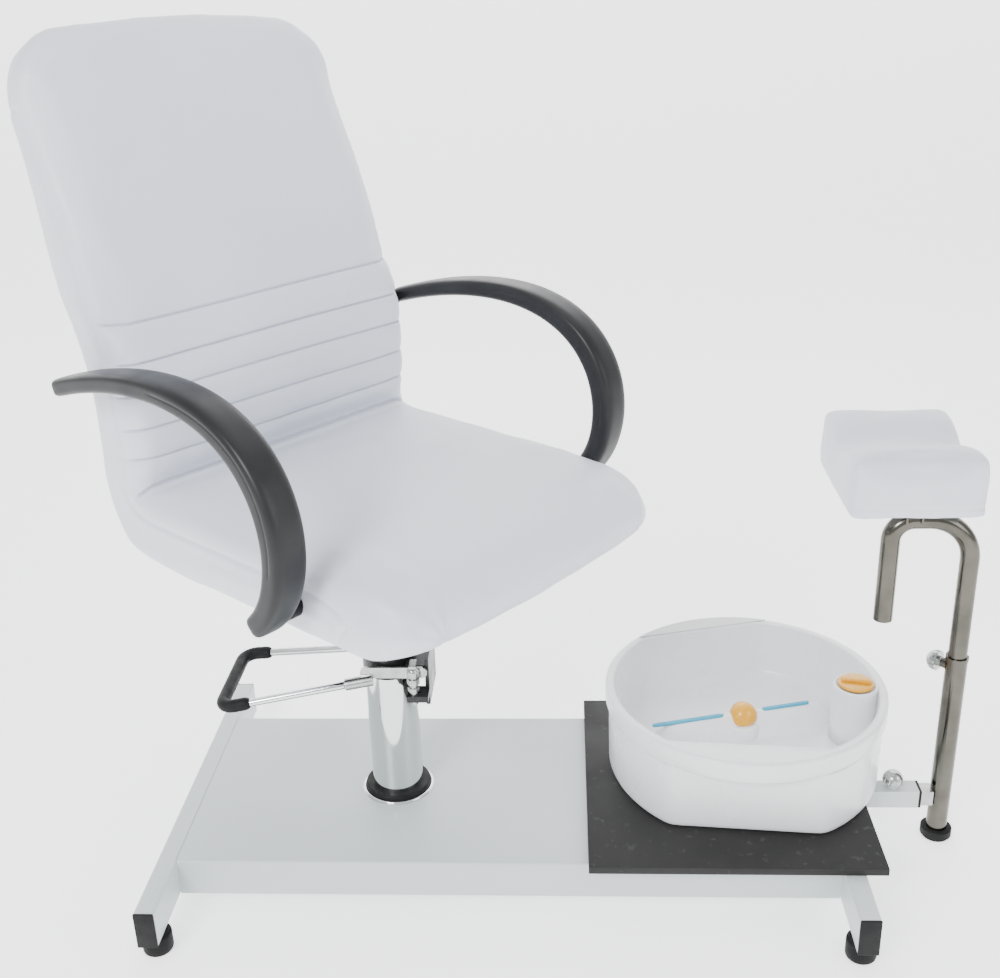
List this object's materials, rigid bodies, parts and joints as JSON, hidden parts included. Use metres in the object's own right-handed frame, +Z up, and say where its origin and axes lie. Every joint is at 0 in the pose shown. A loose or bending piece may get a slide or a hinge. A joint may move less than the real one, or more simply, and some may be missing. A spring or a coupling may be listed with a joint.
{
  "type": "pedicure spa chair",
  "caption": "Padded swivelling and lifting chair on a hydraulic column, with a foot spa on a board and a telescoping padded footrest, all on one low steel base.",
  "frame": {"origin": "on the floor under the middle of the whole object's bounding box at rest", "axes": "+X along the base from the chair's end to the footrest's end, +Y from the operator's side to the far side, +Z up"},
  "size_m": [1.3623, 0.8438, 1.266],
  "materials": {
    "frame_paint": "semi-gloss powder coat",
    "black_plastic": "fine grain",
    "rubber_feet": "matte",
    "rubber_grip": "satin",
    "black_steel": "satin black paint",
    "bright_steel": "bright zinc",
    "chrome": "polished",
    "board_black": "matte charcoal",
    "plywood": "bare",
    "white_upholstery": "semi-gloss",
    "arm_plastic": "semi-gloss",
    "spa_white": "gloss",
    "strip_blue": "semi-gloss",
    "head_orange": "gloss",
    "grip_grey": "semi-gloss"
  },
  "bodies": {
    "base": {"rail_left": "frame_paint", "rail_right": "frame_paint", "platform": "frame_paint", "rail_end_caps": "black_plastic", "base_feet": "rubber_feet", "arm_sleeve": "frame_paint", "arm_sleeve_bush": "black_plastic", "column_plate": "black_steel", "column_bolts": "bright_steel", "column_flange": "black_plastic", "column_trim_ring": "chrome", "column_sleeve": "chrome", "guide_bush": "black_plastic", "spa_board": "board_black", "board_screws": "bright_steel"},
    "lift": {"piston": "chrome", "pump_head": "black_steel", "lever_pin": "bright_steel", "thrust_washer": "bright_steel"},
    "lever": {"lever_arms": "black_steel", "lever_rod": "chrome", "lever_grip": "rubber_grip"},
    "plunger": {"pump_plunger": "bright_steel"},
    "chair": {"swivel_post": "black_steel", "seat_plate": "black_steel", "seat_beams": "black_steel", "beam_screws": "bright_steel", "seat_board": "plywood", "back_board": "plywood", "back_irons": "black_steel", "seat_cushion": "white_upholstery", "back_cushion": "white_upholstery", "arm_right": "arm_plastic", "arm_left": "arm_plastic", "arm_spacers": "arm_plastic", "arm_bolts": "bright_steel"},
    "footrest_arm": {"inner_arm": "bright_steel", "lower_post": "chrome", "post_foot": "rubber_feet"},
    "arm_knob": {"arm_clamp_knob": "chrome"},
    "post_knob": {"post_clamp_knob": "chrome"},
    "collar": {"post_collar": "chrome"},
    "footrest": {"upper_tube": "chrome", "tube_plug": "black_plastic", "footrest_plate": "black_steel", "footrest_screws": "bright_steel", "footrest_board": "plywood", "footrest_cushion": "white_upholstery"},
    "foot_spa": {"spa_housing": "spa_white", "spa_tub": "spa_white", "spa_base": "spa_white", "spa_feet": "rubber_feet", "heater_plate": "bright_steel", "air_pump": "black_plastic", "bubble_ridge": "spa_white", "bubble_strips": "strip_blue", "massage_base": "spa_white", "spa_rear_grip": "grip_grey"},
    "massage_head": {"massage_head": "head_orange"},
    "control_knob": {"control_knob": "head_orange"}
  },
  "joints": [
    {"name": "chair_lift", "type": "slide", "parent": "base", "child": "lift", "axis": [0, 0, 1], "range_m": [0, 0.12]},
    {"name": "pump_stroke", "type": "hinge", "parent": "lift", "child": "lever", "pos_m": [-0.152, -0.034, 0.33], "axis": [0, 1, 0], "range_deg": [-18, 0], "stiffness_Nm_per_rad": 20, "springref_deg": 11.46},
    {"name": "plunger_stroke", "type": "slide", "parent": "lift", "child": "plunger", "axis": [0, 0, 1], "range_m": [-0.0038, 0]},
    {"name": "chair_swivel", "type": "hinge", "parent": "lift", "child": "chair", "pos_m": [-0.206, -0.034, 0.4], "axis": [0, 0, 1], "continuous": true},
    {"name": "footrest_reach", "type": "slide", "parent": "base", "child": "footrest_arm", "axis": [1, 0, 0], "range_m": [-0.012, 0.15]},
    {"name": "arm_knob_turn", "type": "hinge", "parent": "base", "child": "arm_knob", "pos_m": [0.581, -0.034, 0.1], "axis": [0, 0, 1], "range_deg": [-180, 180]},
    {"name": "post_knob_turn", "type": "hinge", "parent": "footrest_arm", "child": "post_knob", "pos_m": [0.64052, -0.01752, 0.308], "axis": [0.7071, -0.7071, 0], "range_deg": [-180, 180]},
    {"name": "footrest_turn", "type": "hinge", "parent": "footrest_arm", "child": "collar", "pos_m": [0.657, -0.034, 0.325], "axis": [0, 0, 1], "range_deg": [-120, 120]},
    {"name": "footrest_height", "type": "slide", "parent": "collar", "child": "footrest", "axis": [0, 0, 1], "range_m": [-0.03, 0.08]},
    {"name": "spa_lift_off", "type": "slide", "parent": "base", "child": "foot_spa", "axis": [0, 0, 1], "range_m": [0, 0.1]},
    {"name": "massage_head_turn", "type": "hinge", "parent": "foot_spa", "child": "massage_head", "pos_m": [0.35, 0.026, 0.18], "axis": [0, 0, 1], "continuous": true},
    {"name": "control_knob_turn", "type": "hinge", "parent": "foot_spa", "child": "control_knob", "pos_m": [0.52421, 0.0208, 0.246], "axis": [0, 0, 1], "range_deg": [-135, 135]}
  ],
  "couplings": [
    {"joint": "plunger_stroke", "follows": "pump_stroke", "m_per_rad": 0.012}
  ]
}
